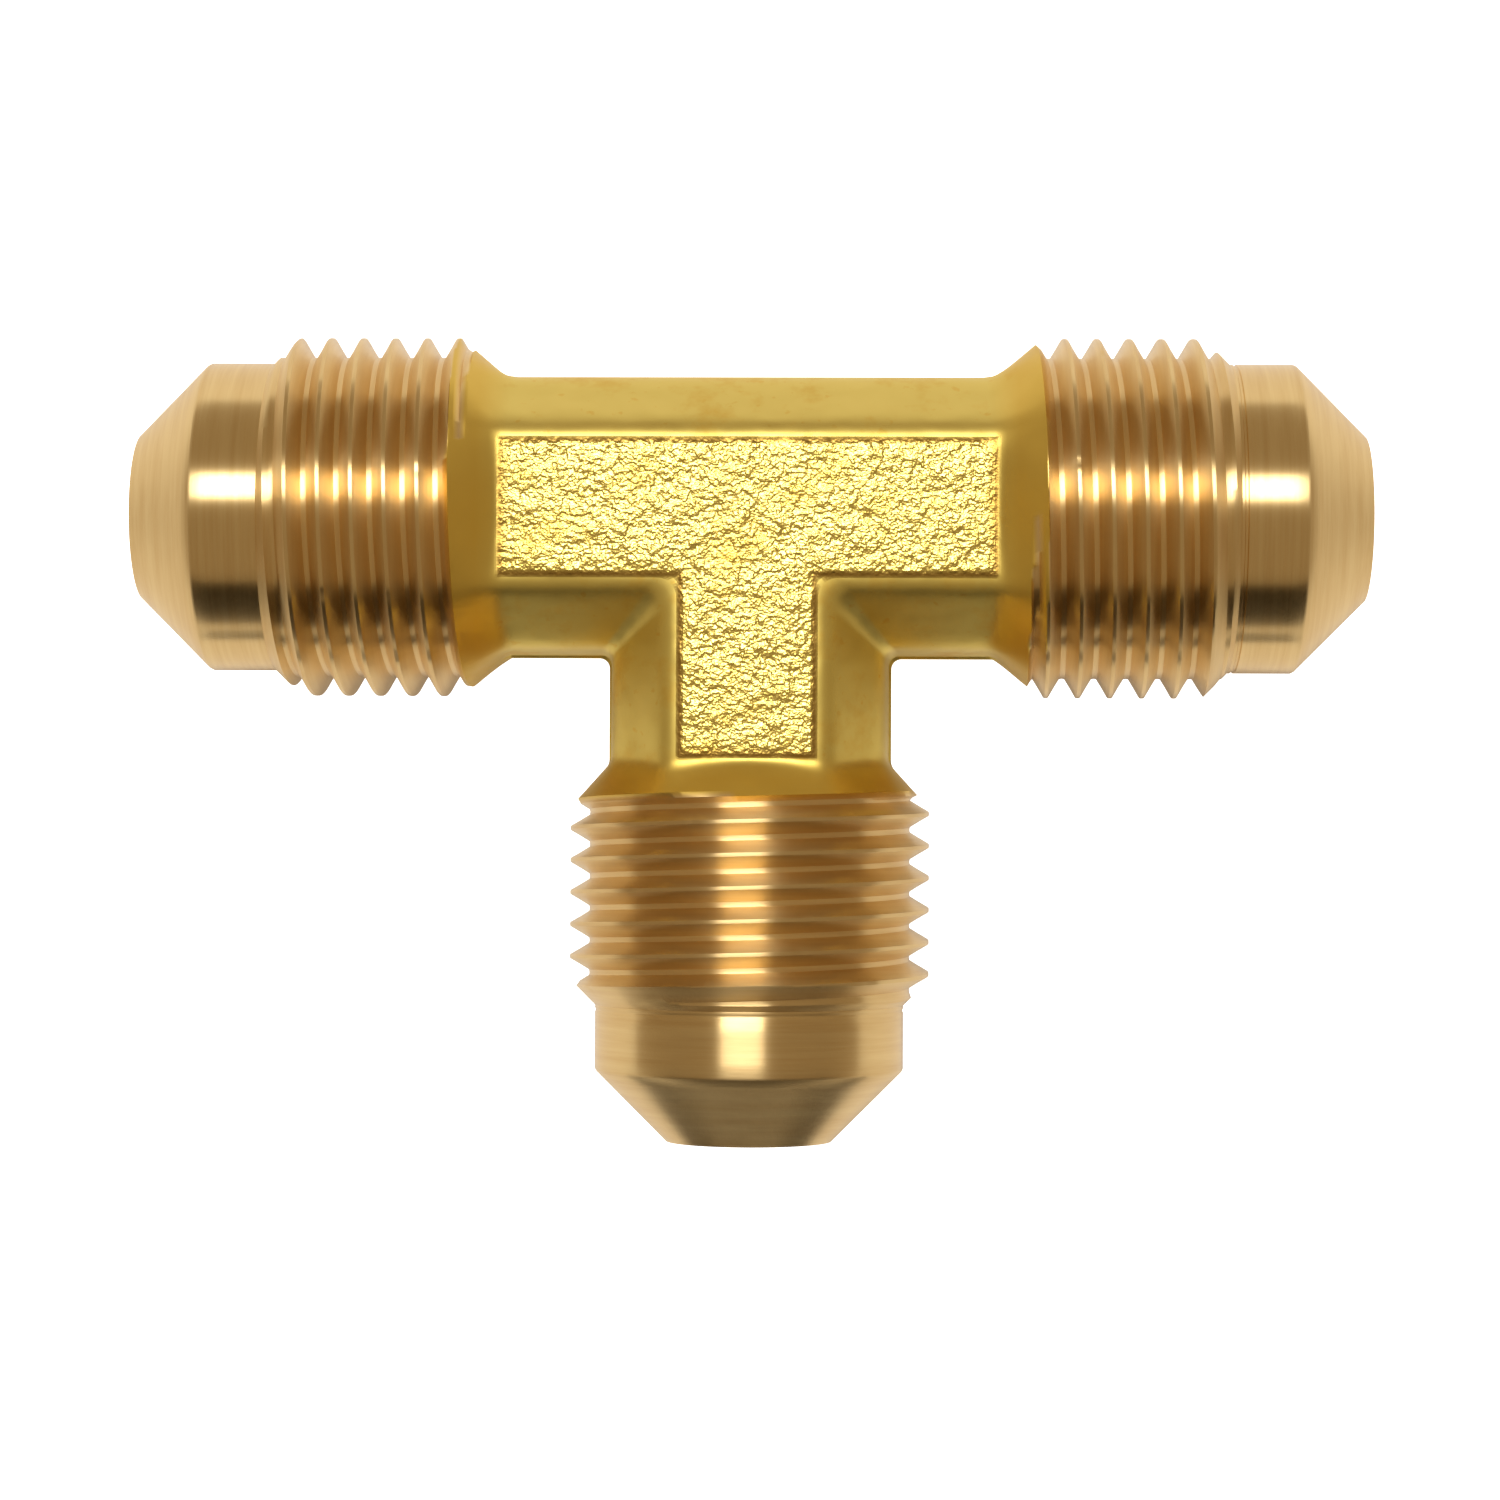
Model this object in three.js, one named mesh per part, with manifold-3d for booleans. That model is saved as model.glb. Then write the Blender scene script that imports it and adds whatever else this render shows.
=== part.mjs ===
// Union tee with three male 45 degree flare ends, for 3/8 inch copper tube.
//
// The fitting is one brass forging that is machined afterwards. A run and a branch of the same
// octagonal section meet in a tee, a 45 degree shoulder swells each arm to the thread, and each
// arm carries a right-hand 5/8-18 UNF thread, a plain pilot and a 45 degree cone that a flared
// tube seats on. Three drilled passages of one diameter meet in the middle.
//
// Units are millimetres. The fitting lies on its threads: +X is along the run, -Y is the way the
// branch points, +Z is up. The origin is the centre of the footprint, on the surface it lies on.

import * as THREE from "three";
import { mergeVertices } from "three/addons/utils/BufferGeometryUtils.js";
import Module from "manifold-3d";

// Driving dimensions.
const RUN_CENTRE_TO_END = 27.0; // from the crossing of the axes to the tips of the run's cones
const BRANCH_CENTRE_TO_END = 27.5;
const THREADS_PER_INCH = 18;
const MAJOR_RADIUS = 7.92;
const CONE_TIP_RADIUS = 3.65;
const PILOT_RADIUS = 6.8;
const PILOT_LENGTH = 2.85;
const BORE_RADIUS = 3.5; // can't be seen, so it is assumed
const SHOULDER_FROM_CENTRE = 12.8; // where the shoulder reaches the thread's full diameter
const BODY_HALF_WIDTH = 6.25; // at the parting line
const BODY_HALF_DEPTH = 6.2; // up to the flat faces
const FLAT_HALF_WIDTH = 3.45; // of the flat faces
const BEVEL_HALF_WIDTH = 6.0; // where the bevel meets the drafted side
const EDGE_EASE = 0.35; // how far the flat's edges are eased back

// Unified thread form, as shares of the pitch.
const CREST_FLAT = 1 / 8;
const THREAD_DEPTH = 0.6134;
const FLANK_RUN = THREAD_DEPTH * Math.tan(THREE.MathUtils.degToRad(30));

const SIDES = 36; // of every round shape, and steps in a turn of the thread
const OVERRUN = 1; // how far a cutter or a joint runs past the face it crosses

const pitch = 25.4 / THREADS_PER_INCH;
const rootRadius = MAJOR_RADIUS - THREAD_DEPTH * pitch;
const coneLength = PILOT_RADIUS - CONE_TIP_RADIUS; // the seat is at 45 degrees
const shoulderStart = SHOULDER_FROM_CENTRE - (MAJOR_RADIUS - BODY_HALF_WIDTH);

const wasm = await Module();
wasm.setup();

/** A closed three.js geometry as a manifold-3d solid. */
function toSolid(geometry) {
  const bare = geometry.clone();
  bare.deleteAttribute("normal");
  bare.deleteAttribute("uv");
  const merged = mergeVertices(bare, 1e-4);
  return new wasm.Manifold(
    new wasm.Mesh({
      numProp: 3,
      vertProperties: new Float32Array(merged.attributes.position.array),
      triVerts: new Uint32Array(merged.index.array),
    }),
  );
}

/** A manifold-3d solid as a three.js geometry. */
function toGeometry(solid) {
  const mesh = solid.getMesh();
  const geometry = new THREE.BufferGeometry();
  geometry.setAttribute("position", new THREE.BufferAttribute(mesh.vertProperties, 3));
  geometry.setIndex(new THREE.BufferAttribute(mesh.triVerts, 1));
  geometry.computeVertexNormals();
  return geometry;
}

/** A solid of revolution about Z, from [radius, height] pairs that start and end on the axis. */
function turned(profile) {
  const points = profile.map(([radius, height]) => new THREE.Vector2(radius, height));
  return new THREE.LatheGeometry(points, SIDES).rotateX(Math.PI / 2);
}

/** A drilled passage about Z. */
function passage(from, to) {
  return new THREE.CylinderGeometry(BORE_RADIUS, BORE_RADIUS, to - from, SIDES)
    .rotateX(Math.PI / 2)
    .translate(0, 0, (from + to) / 2);
}

/** The octagonal section of the body: eased flats, bevels at 45 degrees, and drafted sides. */
function bodySection() {
  const ease = EDGE_EASE / Math.SQRT2;
  const quarter = [
    [BODY_HALF_WIDTH, 0],
    [BEVEL_HALF_WIDTH, BODY_HALF_DEPTH - (BEVEL_HALF_WIDTH - FLAT_HALF_WIDTH)],
    [FLAT_HALF_WIDTH + ease, BODY_HALF_DEPTH - ease],
    [FLAT_HALF_WIDTH - EDGE_EASE, BODY_HALF_DEPTH],
  ];
  const upper = [...quarter, ...quarter.slice(1).toReversed().map(([x, y]) => [-x, y])];
  const outline = [...upper, ...upper.map(([x, y]) => [-x, -y])];
  return new THREE.Shape(outline.map(([x, y]) => new THREE.Vector2(x, y)));
}

/** A bar of the body's section along Z. */
function bar(from, to) {
  return new THREE.ExtrudeGeometry(bodySection(), { depth: to - from, bevelEnabled: false })
    .translate(0, 0, from);
}

/**
 * A right-hand screw about Z. Each step turns by one side and climbs by its share of the pitch,
 * carrying the thread's profile, and the last point of a profile is the first point of the
 * profile one turn later. A cone to the axis closes each end.
 */
function screw(from, turns) {
  const profile = [
    [0, rootRadius],
    [FLANK_RUN, MAJOR_RADIUS],
    [FLANK_RUN + CREST_FLAT, MAJOR_RADIUS],
    [2 * FLANK_RUN + CREST_FLAT, rootRadius],
  ];
  const perStep = profile.length;
  const steps = turns * SIDES;
  const positions = [];
  for (let step = 0; step <= steps + SIDES; step++) {
    const angle = (2 * Math.PI * step) / SIDES;
    const points = step <= steps ? profile : profile.slice(0, 1);
    for (const [share, radius] of points) {
      const height = from + pitch * (step / SIDES + share);
      positions.push(radius * Math.cos(angle), radius * Math.sin(angle), height);
    }
  }
  const vertex = (step, point) => {
    if (point === perStep) return vertex(step + SIDES, 0);
    return step <= steps ? step * perStep + point : (steps + 1) * perStep + (step - steps - 1);
  };
  const faces = [];
  for (let step = 0; step < steps; step++) {
    for (let point = 0; point < perStep; point++) {
      const [a, b] = [vertex(step, point), vertex(step + 1, point)];
      const [c, d] = [vertex(step + 1, point + 1), vertex(step, point + 1)];
      faces.push(a, b, c, a, c, d);
    }
  }
  const rim = (step) => {
    const turn = Array.from({ length: SIDES + 1 }, (_, i) => vertex(step + i, 0));
    const climb = profile.map((_, point) => vertex(step, point)).slice(1).toReversed();
    return [...turn, ...climb];
  };
  const bottom = positions.length / 3;
  positions.push(0, 0, from);
  positions.push(0, 0, from + pitch * (turns + 1));
  rim(0).forEach((corner, i, loop) => {
    faces.push(bottom, loop[(i + 1) % loop.length], corner);
  });
  rim(steps).forEach((corner, i, loop) => {
    faces.push(bottom + 1, corner, loop[(i + 1) % loop.length]);
  });
  const geometry = new THREE.BufferGeometry();
  geometry.setAttribute("position", new THREE.Float32BufferAttribute(positions, 3));
  geometry.setIndex(faces);
  return geometry;
}

/** How far out the thread ends on an arm whose tip is a given distance from the centre. */
function threadEndFor(tip) {
  return tip - coneLength - PILOT_LENGTH;
}

/** The turned shape of one arm before the thread is cut: shoulder, thread blank, pilot, cone. */
function armBlank(tip) {
  const threadEnd = threadEndFor(tip);
  const chamfer = MAJOR_RADIUS - PILOT_RADIUS;
  return turned([
    [0, shoulderStart - OVERRUN],
    [BODY_HALF_WIDTH - OVERRUN, shoulderStart - OVERRUN],
    [MAJOR_RADIUS, SHOULDER_FROM_CENTRE],
    [MAJOR_RADIUS, threadEnd - chamfer],
    [PILOT_RADIUS, threadEnd],
    [PILOT_RADIUS, tip - coneLength],
    [CONE_TIP_RADIUS, tip],
    [0, tip],
  ]);
}

/** What thread cutting leaves of an arm: the screw, and all that lies beyond it at each end. */
function threadLimit(tip, crest) {
  const threadEnd = threadEndFor(tip);
  const firstCrest = crest - pitch * (FLANK_RUN + CREST_FLAT / 2);
  const start = firstCrest - Math.ceil((firstCrest - shoulderStart) / pitch + 1) * pitch;
  const turns = Math.ceil((threadEnd - start) / pitch);
  const wide = MAJOR_RADIUS + OVERRUN;
  const runOut = SHOULDER_FROM_CENTRE - (MAJOR_RADIUS - rootRadius);
  const runIn = threadEnd - (rootRadius - PILOT_RADIUS);
  const inner = turned([
    [0, 0],
    [wide, 0],
    [wide, runOut],
    [0, runOut],
  ]);
  const outer = turned([
    [0, runIn],
    [wide, runIn],
    [wide, tip + OVERRUN],
    [0, tip + OVERRUN],
  ]);
  return toSolid(screw(start, turns)).add(toSolid(inner)).add(toSolid(outer));
}

/** One arm about Z, with its thread, ready to be turned into place. */
function arm(tip, crest) {
  return toSolid(armBlank(tip)).intersect(threadLimit(tip, crest));
}

/**
 * The arms. Each turn takes +Z to the arm's direction, tip is how far out the cone ends, and
 * crest is how far from the centre the thread's crest passes the side that +X is taken to.
 */
const arms = [
  { turn: new THREE.Euler(0, Math.PI / 2, 0), tip: RUN_CENTRE_TO_END, crest: 11.97 },
  { turn: new THREE.Euler(0, -Math.PI / 2, 0), tip: RUN_CENTRE_TO_END, crest: 12.54 },
  { turn: new THREE.Euler(Math.PI / 2, 0, 0), tip: BRANCH_CENTRE_TO_END, crest: 13.04 },
];

function placed(solid, turn) {
  const matrix = new THREE.Matrix4().makeRotationFromEuler(turn);
  return solid.transform(matrix.elements);
}

/** The whole fitting about the crossing of its axes, as one solid. */
function fitting() {
  const reach = SHOULDER_FROM_CENTRE + OVERRUN;
  const run = toSolid(bar(-reach, reach).rotateZ(Math.PI / 2).rotateY(Math.PI / 2));
  const branch = toSolid(bar(0, reach).rotateX(Math.PI / 2));
  let solid = run.add(branch);
  for (const { turn, tip, crest } of arms) {
    solid = solid.add(placed(arm(tip, crest), turn));
  }
  // The run is drilled straight through in one go, so that no skin is left where drills would meet.
  const runEnd = RUN_CENTRE_TO_END + OVERRUN;
  const runDrill = passage(-runEnd, runEnd).rotateY(Math.PI / 2);
  const branchDrill = passage(0, BRANCH_CENTRE_TO_END + OVERRUN).rotateX(Math.PI / 2);
  return solid.subtract(toSolid(runDrill)).subtract(toSolid(branchDrill));
}

const brass = new THREE.MeshStandardMaterial({ color: 0xc9a45c, roughness: 0.3, metalness: 1 });
const body = new THREE.Mesh(toGeometry(fitting()), brass);
body.name = "tee_body";
// The axes lie at the thread's radius above the surface, and the footprint's centre lies
// half-way between the run's far side and the branch's tip.
body.position.set(0, (BRANCH_CENTRE_TO_END - MAJOR_RADIUS) / 2, MAJOR_RADIUS);

const part = new THREE.Group();
part.add(body);
export default part;
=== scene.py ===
from math import cos, pi, radians

import bmesh
import bpy
import numpy as np
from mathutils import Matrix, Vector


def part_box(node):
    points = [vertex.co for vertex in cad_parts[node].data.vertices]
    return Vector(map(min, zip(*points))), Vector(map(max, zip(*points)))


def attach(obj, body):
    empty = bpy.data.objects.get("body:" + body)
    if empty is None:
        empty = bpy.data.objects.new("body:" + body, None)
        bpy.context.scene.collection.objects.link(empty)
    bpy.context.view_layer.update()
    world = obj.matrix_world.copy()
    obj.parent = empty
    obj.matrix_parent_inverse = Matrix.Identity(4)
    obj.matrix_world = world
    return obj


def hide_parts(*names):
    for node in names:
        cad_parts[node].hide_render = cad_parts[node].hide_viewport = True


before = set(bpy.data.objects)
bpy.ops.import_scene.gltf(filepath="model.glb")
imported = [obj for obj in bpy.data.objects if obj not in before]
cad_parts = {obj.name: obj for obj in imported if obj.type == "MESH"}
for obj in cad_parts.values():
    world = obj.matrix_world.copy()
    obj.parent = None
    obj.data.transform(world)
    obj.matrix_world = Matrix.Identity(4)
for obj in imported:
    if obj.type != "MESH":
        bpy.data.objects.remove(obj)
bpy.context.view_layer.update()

# ---------------------------------------------------------------------------------------------
# The tee. One brass forging: an octagonal run and branch, with a 45 degree shoulder on each arm.
# Each arm is then turned in a lathe to a thread, a plain pilot and a 45 degree cone, and drilled
# to the middle. Nothing is fixed to it, so it is one closed surface.

MM = 0.001
low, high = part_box("tee_body")
MAJOR_RADIUS = (high.z - low.z) / 2
crossing = np.array([0, high.y - MAJOR_RADIUS, low.z + MAJOR_RADIUS])

FLAT_DISTANCE = 6.2 * MM  # from the bore's axis to each face of the forged section
BEVEL_DISTANCE = 6.72 * MM
SIDE_DISTANCE = 6.14 * MM
BEVEL_ANGLE = radians(42)  # from the side to the way that a bevel faces
DRAFT_SLOPE = 0.06  # how much a side leans in as it rises from the parting line
EDGE_SHARPNESS = 30
FLASH_HEIGHT = 0.25 * MM  # the trimmed flash stands this far above and below the parting line
FLASH_PROUD = 0.09 * MM
FLAT_HALF_WIDTH = 3.45 * MM
BLASTED_HALF_WIDTH = 2.72 * MM  # the blasting stops short of the flats' rounded edges
BLASTING_FADE = 0.3 * MM  # and fades out over this width, where a dark line of painted shade runs along the edge
CORNER_AT_PARTING = 0.45 * MM  # the fillet where the branch meets the run, seen from above
CORNER_AT_FLAT = 0.95 * MM
SHOULDER_FILLET = 0.2 * MM
SHOULDER_START = 10.75 * MM
SHOULDER_FROM_CENTRE = 12.8 * MM
RUN_OUT = 0.45 * MM  # the thread reaches its full depth over this length
RUN_OUT_AHEAD = 0.85 * MM  # and begins this far ahead of the shoulder's outer end

PITCH = 25.4 * MM / 18
THREAD_DEPTH = 0.6134
ROOT_RADIUS = MAJOR_RADIUS - THREAD_DEPTH * PITCH
PILOT_RADIUS = 6.8 * MM
PILOT_LENGTH = 2.85 * MM
CONE_TIP_RADIUS = 3.65 * MM
BORE_RADIUS = 3.5 * MM
EDGE_BREAK = 0.07 * MM
NICKS_PER_ARM = 26
FORGING_WAVES = 28
BLASTED_UNEVENNESS = 0.016 * MM

# Each arm has its own way out from the crossing, and its own side, which faces the branch on the
# run's arms. tip is how far out its cone ends. crest is where the thread's crest passes the side,
# and hand is which way the thread climbs as the angle grows from the side to the top. round is
# how far the shoulder is a cone, rather than a loft that starts square across the arm, and groove
# is how deep the tool has marked the end of the pilot.
ARMS = {
    "right": {
        "out": (1, 0, 0),
        "side": (0, -1, 0),
        "tip": high.x,
        "crest": 13.03 * MM,
        "hand": -1,
        "round": 0,
        "groove": 0.07 * MM,
    },
    "left": {
        "out": (-1, 0, 0),
        "side": (0, -1, 0),
        "tip": -low.x,
        "crest": 12.19 * MM,
        "hand": 1,
        "round": 0,
        "groove": 0,
    },
    "branch": {
        "out": (0, -1, 0),
        "side": (1, 0, 0),
        "tip": crossing[1] - low.y,
        "crest": 13.04 * MM,
        "hand": 1,
        "round": 0.35,
        "groove": 0.03 * MM,
    },
}


def angles_round_an_arm():
    """Angles from the side round to the side again. They are closer together at the flash and
    over the flats, and every quarter has the same ones, so that neighbouring arms meet point to
    point."""
    flash = FLASH_HEIGHT / SIDE_DISTANCE
    flat_edge = radians(61)
    stretches = [(0, flash, 2), (flash, 1.35 * flash, 1), (1.35 * flash, flat_edge, 30)]
    stretches.append((flat_edge, pi / 2, 22))
    quarter = [np.linspace(start, end, steps + 1)[:-1] for start, end, steps in stretches]
    quarter = np.concatenate(quarter + [[pi / 2]])
    half = np.concatenate([quarter, pi - quarter[-2::-1]])
    return np.concatenate([half, pi + half[1:]])


def section_radius(angle):
    """How far the forged section reaches at an angle. It is the smooth least of the distances to
    its faces: each face's cosine over its distance is raised to a high power, and the sum is
    taken to minus one over that power."""
    faces = [(0, SIDE_DISTANCE), (pi, SIDE_DISTANCE)]
    faces += [(pi / 2, FLAT_DISTANCE), (-pi / 2, FLAT_DISTANCE)]
    for facing in (BEVEL_ANGLE, pi - BEVEL_ANGLE, pi + BEVEL_ANGLE, -BEVEL_ANGLE):
        faces.append((facing, BEVEL_DISTANCE))
    total = np.zeros_like(angle)
    for facing, distance in faces:
        share = np.maximum(np.cos(angle - facing), 0) * FLAT_DISTANCE / distance
        total += share**EDGE_SHARPNESS
    return FLAT_DISTANCE * total ** (-1 / EDGE_SHARPNESS)


def smooth_greater(a, b, width):
    """The greater of two lengths, rounded where they are within width of each other: the overlap
    left in the width, squared, over four widths, is added."""
    overlap = np.maximum(width - np.abs(a - b), 0)
    return np.maximum(a, b) + overlap**2 / (4 * width)


def shoulder_radius(station, forged, roundness):
    """Radius of the shoulder: a straight line from the forged section to the thread's crest. It
    starts at one station all round, or where a 45 degree cone would leave the section, or
    between the two."""
    cone_start = SHOULDER_FROM_CENTRE - (MAJOR_RADIUS - forged)
    start = SHOULDER_START + roundness * (cone_start - SHOULDER_START)
    slope = (MAJOR_RADIUS - forged) / (SHOULDER_FROM_CENTRE - start)
    return MAJOR_RADIUS - slope * (SHOULDER_FROM_CENTRE - station)


def lathe_profile(tip, deep):
    """Stations and radii of the corners of the turned end, with a fine groove behind the pilot
    and broken edges."""
    pilot_end = tip - (PILOT_RADIUS - CONE_TIP_RADIUS)
    thread_end = pilot_end - PILOT_LENGTH
    groove = thread_end + 0.12 * MM
    corners = [
        (SHOULDER_FROM_CENTRE, MAJOR_RADIUS),
        (thread_end - (MAJOR_RADIUS - PILOT_RADIUS), MAJOR_RADIUS),
        (thread_end, PILOT_RADIUS),
        (groove, PILOT_RADIUS),
        (groove + 0.04 * MM, PILOT_RADIUS - deep),
        (groove + 0.14 * MM, PILOT_RADIUS - deep),
        (groove + 0.18 * MM, PILOT_RADIUS),
        (pilot_end - EDGE_BREAK, PILOT_RADIUS),
        (pilot_end + 0.7 * EDGE_BREAK, PILOT_RADIUS - 0.7 * EDGE_BREAK - 0.01 * MM),
        (tip, CONE_TIP_RADIUS),
    ]
    return np.array(corners).T


def nicks(station, angle, crest, hand):
    """Small dents along the crests, as rounded hollows at random places: the depth of each falls
    off as a bell with the distance along and round the arm."""
    random = np.random.default_rng(int(crest / MM * 1000))
    depth = np.zeros_like(station)
    for _ in range(NICKS_PER_ARM):
        where = random.uniform(0, 2 * pi)
        line = crest + PITCH * (random.integers(0, 6) + hand * where / (2 * pi))
        size, deep = random.uniform(0.08, 0.22) * MM, random.uniform(0.015, 0.06) * MM
        away = np.abs(angle - where) * MAJOR_RADIUS
        depth += deep * np.exp(-((away / size) ** 2) - ((station - line) / (0.12 * MM)) ** 2)
    return depth


def thread_radius(station, angle, crest, hand):
    """Radius that the thread leaves. The crest line climbs a pitch in a turn, and the depth is
    read from the unified form at the distance, in pitches, from the nearest crest. It fades
    where the tool is drawn out before the shoulder."""
    turns = (station - crest) / PITCH - hand * angle / (2 * pi)
    from_crest = np.abs(turns - np.round(turns))
    depth = np.interp(
        from_crest, [0, 0.055, 0.085, 0.36, 0.42, 0.5], [0, 0.004, 0.039, 0.515, 0.6, THREAD_DEPTH]
    )
    begun = np.clip((station - SHOULDER_FROM_CENTRE + RUN_OUT_AHEAD) / RUN_OUT, 0, 1)
    return MAJOR_RADIUS - PITCH * depth * begun


def body_stations(start):
    """Rows from the mitre to the thread, closer at the mitre's fillet and at the shoulder's."""
    shoulder = SHOULDER_START - SHOULDER_FILLET
    thread = SHOULDER_FROM_CENTRE - (MAJOR_RADIUS - ROOT_RADIUS)
    along = np.linspace(0, 1, 37)[:-1, None] ** 1.35
    plain = start + (shoulder - start) * along
    rising = np.linspace(shoulder, thread, 17)[:, None] + 0 * start
    return np.concatenate([plain, rising])


def thread_stations(angle, crest, hand, first, last):
    """Rows that follow the helix through each corner of the thread's form, held between the two
    stations where the thread begins and ends."""
    corners = np.array([0, 0.055, 0.085, 0.25, 0.42, 0.5, 0.58, 0.75, 0.915, 0.945])
    lowest = np.floor((first - crest) / PITCH) - 2
    pitches = np.arange(lowest, lowest + np.ceil((last - first) / PITCH) + 5)
    bases = (crest + PITCH * (pitches[:, None] + corners)).ravel()
    rows = bases[:, None] + PITCH * hand * angle / (2 * pi)
    inside = (rows.max(1) > first) & (rows.min(1) < last)
    return np.clip(rows[inside], first, last)


def end_stations(first, corners):
    """Rows from the thread to the tip, through each corner of the lathe profile."""
    pilot = np.linspace(corners[6], corners[7], 5)[1:]
    cone = np.linspace(corners[8], corners[9], 8)
    return np.concatenate([[first], corners[2:7], pilot, cone])


def arm_surface(arm, both_sides):
    """One arm, as a grid of rows along it by columns round it: out from the mitre over the body,
    the thread and the cone, round the tip, and back down the bore to the middle. Gives the
    distance out, to the side and up, and what kind of surface each point is on."""
    angle = angles_round_an_arm()[None, :]
    radius = section_radius(angle)
    side, up = radius * np.cos(angle), radius * np.sin(angle)
    lean = DRAFT_SLOPE * np.abs(up) * (np.abs(side) / SIDE_DISTANCE) ** 4
    flash = np.interp(np.abs(up) / FLASH_HEIGHT, [1, 1.3], [FLASH_PROUD, 0])
    side = side - np.sign(side) * (lean - flash * (np.abs(side) > FLAT_HALF_WIDTH))
    toward = np.abs(side) if both_sides else np.maximum(side, 0)
    height = (np.abs(up) / FLAT_DISTANCE) ** 4
    corner = CORNER_AT_PARTING + (CORNER_AT_FLAT - CORNER_AT_PARTING) * height
    corner = corner * np.minimum(toward / FLAT_HALF_WIDTH, 1)
    start = toward + (1 - cos(pi / 4)) * corner

    body = body_stations(start)
    corners, radii = lathe_profile(arm["tip"], arm["groove"])
    first, last = body[-1, 0], corners[2] - (ROOT_RADIUS - PILOT_RADIUS)
    thread = thread_stations(angle, arm["crest"], arm["hand"], first, last)
    end = end_stations(last, corners)[:, None] + 0 * angle
    out = np.concatenate([body, thread, end])

    # The fillet is an arc in plan: it leaves the side by the arc's radius less its own half-chord.
    into_corner = np.maximum(toward + corner - out, 0)
    filled = toward + corner - np.sqrt(np.maximum(corner**2 - into_corner**2, 0))
    side = np.where(toward > 0, np.sign(side) * filled, side)
    forged = np.hypot(side, up)
    shoulder = shoulder_radius(out, section_radius(angle), arm["round"])
    shoulder = smooth_greater(forged, shoulder, SHOULDER_FILLET)
    skin = np.where(out < SHOULDER_FROM_CENTRE, shoulder, np.interp(out, corners, radii))
    cut = thread_radius(out, angle, arm["crest"], arm["hand"])
    reach = np.minimum(skin, cut) - nicks(out, angle, arm["crest"], arm["hand"])
    side, up = side / forged * reach, up / forged * reach

    turned = np.where(out < SHOULDER_FROM_CENTRE, np.clip((skin - cut) / (0.02 * MM), 0, 1), 1)
    over_edge = np.clip((np.abs(side) - BLASTED_HALF_WIDTH) / BLASTING_FADE, 0, 1)
    over_end = np.clip((out - SHOULDER_START) / BLASTING_FADE + 1, 0, 1)
    flatness = (1 - np.maximum(over_edge, over_end)) * (np.abs(up) > 0.9 * FLAT_DISTANCE)

    bore_side, bore_up = BORE_RADIUS * np.cos(angle), BORE_RADIUS * np.sin(angle)
    bottom = np.abs(bore_side) if both_sides else np.maximum(bore_side, 0)
    mouth = arm["tip"] - EDGE_BREAK
    along = np.linspace(1, 0, 10)[:, None]
    bore = bottom + (mouth - bottom) * along
    lip = 1 + EDGE_BREAK / BORE_RADIUS
    rim = np.full_like(angle, arm["tip"])
    out = np.concatenate([out, rim, bore])
    side = np.concatenate([side, bore_side * lip, bore_side + 0 * bore])
    up = np.concatenate([up, bore_up * lip, bore_up + 0 * bore])
    extra = np.ones((len(along) + 1, 1)) + 0 * angle
    turned = np.concatenate([turned, extra])
    flatness = np.concatenate([flatness, 0 * extra])
    seat = out > corners[7]
    return out, side, up, angle + 0 * out, turned, flatness, seat


def undulation(points, seed):
    """Unevenness that forging leaves: plane waves in random directions, added up and divided by
    the square root of how many there are."""
    random = np.random.default_rng(seed)
    waves = random.normal(size=(3, FORGING_WAVES))
    lengths = random.uniform(0.8, 2.0, FORGING_WAVES) * MM
    waves *= 2 * pi / (np.linalg.norm(waves, axis=0) * lengths)
    phases = random.uniform(0, 2 * pi, FORGING_WAVES)
    return np.sin(points @ waves + phases).sum(1) / FORGING_WAVES**0.5


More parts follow.
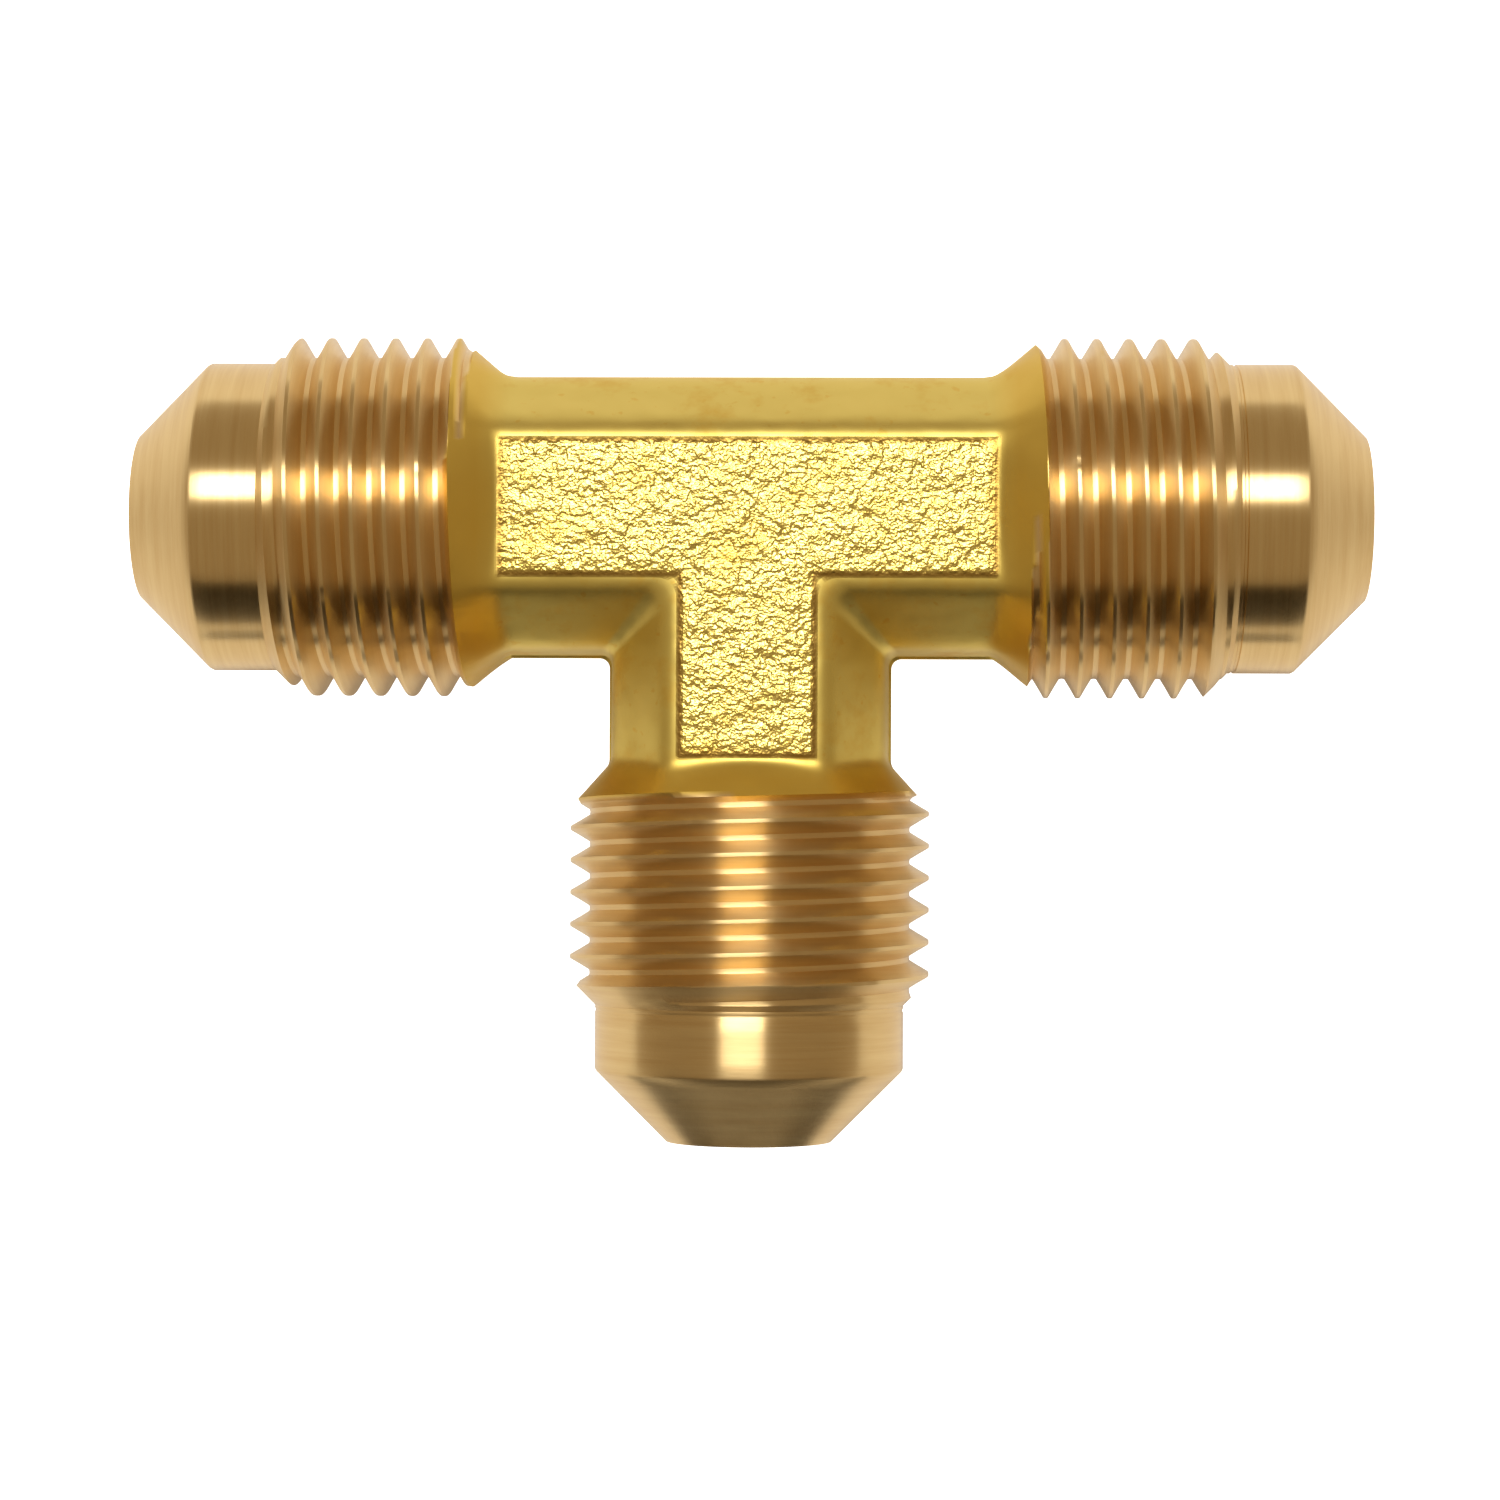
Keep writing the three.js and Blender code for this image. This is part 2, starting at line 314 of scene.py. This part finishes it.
def tee_mesh():
    """The three arms joined where they mitre, as one closed mesh. Its UV map is the distance
    round and along each arm in millimetres. Its attributes are what the lathe has cut, and the
    flats that keep the blasted skin. Its faces have the forged, turned or seat brass."""
    places, quads, maps, turned_all, flat_all, seat_all = [], [], [], [], [], []
    count = 0
    for name, arm in ARMS.items():
        out, side, up, angle, turned, flatness, seat = arm_surface(arm, name == "branch")
        axes = np.array([arm["out"], arm["side"], (0, 0, 1)], float)
        local = np.stack([out, side, up], axis=-1).reshape(-1, 3)
        points = local @ axes
        lift = BLASTED_UNEVENNESS * undulation(points, 3) * flatness.ravel()
        points[:, 2] += lift * np.sign(points[:, 2])
        rows, columns = out.shape
        index = count + np.arange(rows * columns).reshape(rows, columns)
        corners = [index[:-1, :-1], index[1:, :-1], index[1:, 1:], index[:-1, 1:]]
        # Where the arm's own axes are right-handed this order faces inward, so it is turned round.
        if np.linalg.det(axes) > 0:
            corners.reverse()
        quads.append(np.stack(corners, axis=-1).reshape(-1, 4))
        places.append(points + crossing)
        maps.append(np.stack([angle * MAJOR_RADIUS / MM, out / MM], axis=-1).reshape(-1, 2))
        turned_all.append(turned.ravel())
        flat_all.append(flatness.ravel())
        seat_all.append(seat.ravel())
        count += rows * columns
    quads = np.concatenate(quads)
    mesh = bpy.data.meshes.new("union_tee")
    mesh.from_pydata(np.concatenate(places), [], quads)
    uv = mesh.uv_layers.new(name="round_and_along")
    uv.data.foreach_set("uv", np.concatenate(maps)[quads.ravel()].astype(np.float32).ravel())
    for attribute, values in (("turned", turned_all), ("blasted", flat_all)):
        layer = mesh.attributes.new(attribute, "FLOAT", "POINT")
        layer.data.foreach_set("value", np.concatenate(values).astype(np.float32))
    lathe_cut = np.concatenate(turned_all)[quads].mean(1) > 0.5
    seats = np.concatenate(seat_all)[quads].all(1)
    mesh.polygons.foreach_set("material_index", lathe_cut.astype(np.int32) + seats)
    closed = bmesh.new()
    closed.from_mesh(mesh)
    bmesh.ops.remove_doubles(closed, verts=closed.verts, dist=0.0005 * MM)
    closed.to_mesh(mesh)
    closed.free()
    mesh.shade_smooth()
    mesh.set_sharp_from_angle(angle=radians(40))
    return mesh


FORGED_YELLOW = (0.82, 0.64, 0.165, 1)
FORGED_AMBER = (0.76, 0.48, 0.07, 1)
# Painted shade: the colour of the dark line along the flats' rounded edges, standing in for the dark
# reflection there.
PAINTED_EDGE_SHADE = (0.36, 0.2, 0.04, 1)
TURNED_LIGHT = (0.87, 0.65, 0.31, 1)
TURNED_DARK = (0.79, 0.56, 0.25, 1)


def new_group(name, inputs, outputs):
    """An empty shader node group with named inputs and outputs, and its two end nodes."""
    group = bpy.data.node_groups.new(name, "ShaderNodeTree")
    for label, kind in inputs:
        group.interface.new_socket(name=label, in_out="INPUT", socket_type=kind)
    for label, kind in outputs:
        group.interface.new_socket(name=label, in_out="OUTPUT", socket_type=kind)
    return group, group.nodes.new("NodeGroupInput"), group.nodes.new("NodeGroupOutput")


def add_noise(tree, vector, scale, detail, roughness=0.5, distortion=0.0):
    """A noise texture on a vector, and its value from 0 to 1."""
    noise = tree.nodes.new("ShaderNodeTexNoise")
    noise.inputs["Scale"].default_value = scale
    noise.inputs["Detail"].default_value = detail
    noise.inputs["Roughness"].default_value = roughness
    noise.inputs["Distortion"].default_value = distortion
    tree.links.new(vector, noise.inputs["Vector"])
    return noise.outputs["Fac"]


def add_range(tree, value, from_low, from_high, to_low, to_high):
    """A value mapped from one range to another, and held inside it."""
    node = tree.nodes.new("ShaderNodeMapRange")
    tree.links.new(value, node.inputs["Value"])
    for label, number in zip(
        ("From Min", "From Max", "To Min", "To Max"), (from_low, from_high, to_low, to_high)
    ):
        node.inputs[label].default_value = number
    return node.outputs["Result"]


def add_math(tree, operation, a, b):
    """A math node on two sockets or numbers."""
    node = tree.nodes.new("ShaderNodeMath")
    node.operation = operation
    for socket, value in zip(node.inputs, (a, b)):
        if isinstance(value, (int, float)):
            socket.default_value = value
        else:
            tree.links.new(value, socket)
    return node.outputs[0]


def add_mix(tree, factor, a, b):
    """A colour between two colours or sockets."""
    node = tree.nodes.new("ShaderNodeMix")
    node.data_type = "RGBA"
    tree.links.new(factor, node.inputs["Factor"])
    for socket, value in ((node.inputs[6], a), (node.inputs[7], b)):
        if isinstance(value, tuple):
            socket.default_value = value
        else:
            tree.links.new(value, socket)
    return node.outputs[2]


def forged_skin():
    """Blasted forging: a crumpled relief of small wrinkles that is strong on the flats and faint
    elsewhere, amber stains in soft patches, amber all over the shoulders, and a line of painted
    shade where the blasting fades out at the flats' edges, standing in for the dark reflection
    on their rounded edges."""
    group, given, made = new_group(
        "forged_skin",
        [
            ("Vector", "NodeSocketVector"),
            ("Blasted", "NodeSocketFloat"),
            ("Distance Out", "NodeSocketFloat"),
        ],
        [
            ("Color", "NodeSocketColor"),
            ("Roughness", "NodeSocketFloat"),
            ("Height", "NodeSocketFloat"),
        ],
    )
    place = given.outputs["Vector"]
    wrinkles = add_noise(group, place, 2600, 2, 0.5)
    pits = add_noise(group, place, 5200, 1, 0.5)
    relief = add_math(group, "ADD", wrinkles, add_math(group, "MULTIPLY", pits, 0.4))
    relief = add_math(group, "MULTIPLY", relief, given.outputs["Blasted"])
    swells = add_math(group, "MULTIPLY", add_noise(group, place, 700, 1), 0.5)
    group.links.new(add_math(group, "ADD", relief, swells), made.inputs["Height"])
    patches = add_noise(group, place, 420, 4, 0.65)
    amber = add_range(group, patches, 0.52, 0.75, 0, 0.75)
    flecks = add_range(group, add_noise(group, place, 1900, 2), 0.66, 0.74, 0, 0.5)
    stain = add_math(group, "MAXIMUM", amber, flecks)
    shoulder = add_range(group, given.outputs["Distance Out"], 10.3, 11.6, 0, 0.65)
    stain = add_math(group, "MAXIMUM", stain, shoulder)
    stained = add_mix(group, stain, FORGED_YELLOW, FORGED_AMBER)
    # Painted shade: a dark line where the blasting fades out at the flats' edges, standing in for the
    # dark reflection on their rounded edges.
    faded = add_math(group, "SUBTRACT", 1, given.outputs["Blasted"])
    line = add_math(group, "MULTIPLY", given.outputs["Blasted"], faded)
    painted_edge_shade = add_range(group, line, 0, 0.25, 0, 0.85)
    group.links.new(add_mix(group, painted_edge_shade, stained, PAINTED_EDGE_SHADE), made.inputs["Color"])
    rough = add_range(group, given.outputs["Blasted"], 0, 1, 0.42, 0.3)
    uneven = add_range(group, patches, 0.3, 0.7, -0.04, 0.04)
    group.links.new(add_math(group, "ADD", rough, uneven), made.inputs["Roughness"])
    return group


def turned_finish():
    """Lathe finish: fine tool marks that run round each arm, uneven from one to the next and
    fading in and out, and a tone that drifts along with them. The threads are duller than the
    pilots and cones."""
    group, given, made = new_group(
        "turned_finish",
        [("Round And Along", "NodeSocketVector")],
        [
            ("Color", "NodeSocketColor"),
            ("Roughness", "NodeSocketFloat"),
            ("Height", "NodeSocketFloat"),
        ],
    )
    stretch = group.nodes.new("ShaderNodeVectorMath")
    stretch.operation = "MULTIPLY"
    stretch.inputs[1].default_value = (0.035, 1, 1)
    group.links.new(given.outputs["Round And Along"], stretch.inputs[0])
    along = stretch.outputs[0]
    fine = add_noise(group, along, 16, 2, 0.6)
    broad = add_noise(group, along, 2.6, 3, 0.6)
    relief = add_math(group, "ADD", fine, add_math(group, "MULTIPLY", broad, 0.2))
    group.links.new(relief, made.inputs["Height"])
    tone = add_range(group, broad, 0.35, 0.65, 0, 1)
    group.links.new(add_mix(group, tone, TURNED_DARK, TURNED_LIGHT), made.inputs["Color"])
    apart = group.nodes.new("ShaderNodeSeparateXYZ")
    group.links.new(given.outputs["Round And Along"], apart.inputs[0])
    dull = add_range(group, apart.outputs["Y"], 20.3, 20.9, 0.36, 0.32)
    uneven = add_range(group, fine, 0.3, 0.7, -0.03, 0.03)
    group.links.new(add_math(group, "ADD", dull, uneven), made.inputs["Roughness"])
    return group


def brass(name, skin, finish, anisotropy):
    """Brass with the two finishes, mixed by what the lathe has cut. Tool marks draw highlights
    out along the arm, so the turned brass has anisotropy across the way round."""
    material = bpy.data.materials.new(name)
    material.use_nodes = True
    tree = material.node_tree
    shader = tree.nodes["Principled BSDF"]
    shader.inputs["Metallic"].default_value = 1.0
    shader.inputs["Anisotropic"].default_value = anisotropy
    shader.inputs["Anisotropic Rotation"].default_value = 0.25
    tangent = tree.nodes.new("ShaderNodeTangent")
    tangent.direction_type = "UV_MAP"
    tangent.uv_map = "round_and_along"
    tree.links.new(tangent.outputs["Tangent"], shader.inputs["Tangent"])

    coordinates = tree.nodes.new("ShaderNodeTexCoord")
    blasted = tree.nodes.new("ShaderNodeAttribute")
    blasted.attribute_name = "blasted"
    turned = tree.nodes.new("ShaderNodeAttribute")
    turned.attribute_name = "turned"
    around = tree.nodes.new("ShaderNodeUVMap")
    around.uv_map = "round_and_along"

    forging = tree.nodes.new("ShaderNodeGroup")
    forging.node_tree = skin
    tree.links.new(coordinates.outputs["Object"], forging.inputs["Vector"])
    tree.links.new(blasted.outputs["Fac"], forging.inputs["Blasted"])
    apart = tree.nodes.new("ShaderNodeSeparateXYZ")
    tree.links.new(around.outputs["UV"], apart.inputs[0])
    tree.links.new(apart.outputs["Y"], forging.inputs["Distance Out"])
    turning = tree.nodes.new("ShaderNodeGroup")
    turning.node_tree = finish
    tree.links.new(around.outputs["UV"], turning.inputs["Round And Along"])

    mask = turned.outputs["Fac"]
    colour = add_mix(tree, mask, forging.outputs["Color"], turning.outputs["Color"])
    tree.links.new(colour, shader.inputs["Base Color"])

    def between(output):
        """The forging's value where nothing is cut, and the turning's where it is."""
        cut = add_math(tree, "MULTIPLY", turning.outputs[output], mask)
        left = add_math(tree, "SUBTRACT", 1, mask)
        kept = add_math(tree, "MULTIPLY", forging.outputs[output], left)
        return add_math(tree, "ADD", cut, kept)

    tree.links.new(between("Roughness"), shader.inputs["Roughness"])
    skin_bump = tree.nodes.new("ShaderNodeBump")
    skin_bump.inputs["Distance"].default_value = 0.085 * MM
    left = add_math(tree, "SUBTRACT", 1, mask)
    relief = add_math(tree, "MULTIPLY", forging.outputs["Height"], left)
    tree.links.new(relief, skin_bump.inputs["Height"])
    tool_bump = tree.nodes.new("ShaderNodeBump")
    tool_bump.inputs["Distance"].default_value = 0.0035 * MM
    marks = add_math(tree, "MULTIPLY", turning.outputs["Height"], mask)
    tree.links.new(marks, tool_bump.inputs["Height"])
    tree.links.new(skin_bump.outputs["Normal"], tool_bump.inputs["Normal"])
    tree.links.new(tool_bump.outputs["Normal"], shader.inputs["Normal"])
    return material


tee = bpy.data.objects.new("union_tee", tee_mesh())
bpy.context.scene.collection.objects.link(tee)
skin, finish = forged_skin(), turned_finish()
tee.data.materials.append(brass("forged_brass", skin, finish, 0.0))
tee.data.materials.append(brass("turned_brass", skin, finish, 0.97))
tee.data.materials.append(brass("seat_brass", skin, finish, 0.45))
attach(tee, "root")
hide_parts("tee_body")

# ---------------------------------------------------------------------------------------------
# The stage: a plain white table that glows a little, one soft light overhead, a dim room, and two
# black cards on the branch's side of the fitting, which only reflections see.

TABLE_WHITE = (0.9, 0.9, 0.9, 1)
ROOM_DIM = (0.34, 0.26, 0.17, 1)
LAMP_HEIGHT = 400 * MM


def floor():
    """A wide square table at the height that the fitting lies on."""
    half = 3.0
    corners = [(-half, -half, low.z), (half, -half, low.z), (half, half, low.z), (-half, half, low.z)]
    mesh = bpy.data.meshes.new("table")
    mesh.from_pydata(corners, [], [(0, 1, 2, 3)])
    material = bpy.data.materials.new("table_white")
    material.use_nodes = True
    shader = material.node_tree.nodes["Principled BSDF"]
    shader.inputs["Base Color"].default_value = TABLE_WHITE
    shader.inputs["Roughness"].default_value = 0.9
    shader.inputs["Emission Color"].default_value = (1, 1, 1, 1)
    path = material.node_tree.nodes.new("ShaderNodeLightPath")
    glow = add_range(material.node_tree, path.outputs["Is Camera Ray"], 0, 1, 0.15, 1.5)
    material.node_tree.links.new(glow, shader.inputs["Emission Strength"])
    mesh.materials.append(material)
    table = bpy.data.objects.new("table", mesh)
    bpy.context.scene.collection.objects.link(table)
    return table


def card(name, outline):
    """A black card through four corners, hidden from the camera, diffuse light and shadows."""
    mesh = bpy.data.meshes.new(name)
    mesh.from_pydata(outline, [], [(0, 1, 2, 3)])
    material = bpy.data.materials.new(name)
    material.use_nodes = True
    shader = material.node_tree.nodes["Principled BSDF"]
    shader.inputs["Base Color"].default_value = (0.02, 0.017, 0.013, 1)
    mesh.materials.append(material)
    black = bpy.data.objects.new(name, mesh)
    black.visible_camera = black.visible_diffuse = black.visible_shadow = False
    bpy.context.scene.collection.objects.link(black)
    return black


def room():
    """A dim warm room for the reflections, and a pale one behind the fitting."""
    world = bpy.data.worlds.new("room")
    world.use_nodes = True
    tree = world.node_tree
    dim = tree.nodes["Background"]
    dim.inputs["Color"].default_value = ROOM_DIM
    pale = tree.nodes.new("ShaderNodeBackground")
    pale.inputs["Color"].default_value = (0.92, 0.92, 0.92, 1)
    path = tree.nodes.new("ShaderNodeLightPath")
    mix = tree.nodes.new("ShaderNodeMixShader")
    tree.links.new(path.outputs["Is Camera Ray"], mix.inputs["Fac"])
    tree.links.new(dim.outputs["Background"], mix.inputs[1])
    tree.links.new(pale.outputs["Background"], mix.inputs[2])
    tree.links.new(mix.outputs[0], tree.nodes["World Output"].inputs["Surface"])
    bpy.context.scene.world = world


def lamp():
    """A soft rectangular light overhead, beyond the run and a little to the left."""
    light = bpy.data.lights.new("soft_light", "AREA")
    light.shape = "RECTANGLE"
    light.size, light.size_y = 222 * MM, 128 * MM
    light.energy = 0.97
    lamp = bpy.data.objects.new("soft_light", light)
    lamp.location = (-28 * MM, crossing[1] + 135 * MM, LAMP_HEIGHT)
    bpy.context.scene.collection.objects.link(lamp)


# The tall card stands well beyond the branch, and the low one lies on the table in front of it.
wide, away = 750 * MM, -550 * MM
foot, top = 4 * MM, 400 * MM
tall = [(-wide, away, foot), (wide, away, foot), (wide, away, top), (-wide, away, top)]
narrow, lift = 34 * MM, 0.2 * MM
start = low.y - 13 * MM
end = start - 55 * MM
flat = [(-narrow, end, lift), (narrow, end, lift), (narrow, start, lift), (-narrow, start, lift)]
floor()
card("black_card_near_side", tall)
card("black_card_on_table", flat)
room()
lamp()

# ---------------------------------------------------------------------------------------------
# The camera looks down on the fitting from close by, a little from the branch's side.

FRAME_WIDTH = 66.28 * MM  # what the picture spans at the height of the axes
DISTANCE = 170 * MM
camera = bpy.data.cameras.new("camera")
camera.sensor_width = 36
camera.lens = camera.sensor_width * DISTANCE / FRAME_WIDTH
camera.clip_start = 1 * MM
viewer = bpy.data.objects.new("camera", camera)
viewer.location = (4.4 * MM, crossing[1] - 13.5 * MM, crossing[2] + DISTANCE)
viewer.rotation_euler = (radians(1.1), radians(1.48), radians(0.25))
bpy.context.scene.collection.objects.link(viewer)
bpy.context.scene.camera = viewer
bpy.context.scene.view_settings.view_transform = "Standard"
